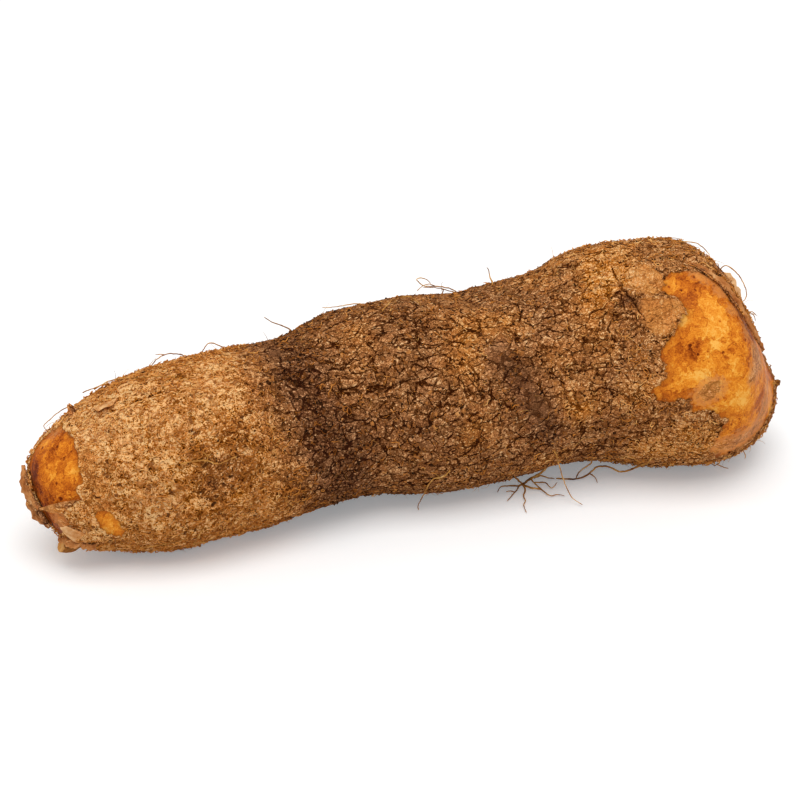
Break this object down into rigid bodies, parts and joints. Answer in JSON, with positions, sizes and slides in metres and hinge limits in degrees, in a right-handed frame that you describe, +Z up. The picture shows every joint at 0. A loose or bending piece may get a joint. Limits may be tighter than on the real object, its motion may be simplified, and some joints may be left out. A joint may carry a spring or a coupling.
{
  "type": "yam",
  "caption": "Whole brown yam tuber lying on its side, with cracked fibrous bark, peeled orange patches, torn bark flaps, a cut vine stub and fine feeder roots.",
  "frame": {"origin": "middle of the footprint of the whole part, on the surface it rests on", "axes": "+X along the tuber from the crown, with its vine stub, to the thick head end; +Y towards the back, away from the peeled side; +Z up"},
  "size_m": [0.3456, 0.1144, 0.1033],
  "materials": {
    "bark": "matt fibrous bark, cracked, with waxy orange bare patches",
    "torn_bark": "dry torn bark, matt",
    "root": "dry thin root, matt",
    "stem": "dry cut vine, matt"
  },
  "bodies": {
    "root": {"tuber": "bark", "stem_stub": "stem", "crown_rim_flap": "torn_bark", "crown_lower_flap": "torn_bark", "crown_tongue_flap": "torn_bark", "crown_corner_flap": "torn_bark", "crown_base_flap": "torn_bark", "crown_base_chip": "torn_bark", "crown_tip_flap": "torn_bark", "crown_crack_flake": "torn_bark", "head_rim_flap": "torn_bark", "head_curl": "torn_bark", "root_fan": "root", "root_runner": "root", "root_thin": "root", "root_single": "root", "root_top_loop": "root", "root_top_spike": "root", "root_top_twig": "root", "root_arch_left": "root", "root_arch_right": "root", "root_crown_fibre": "root", "root_head_loop": "root", "root_head_knob": "root", "root_head_under": "root"}
  },
  "joints": []
}
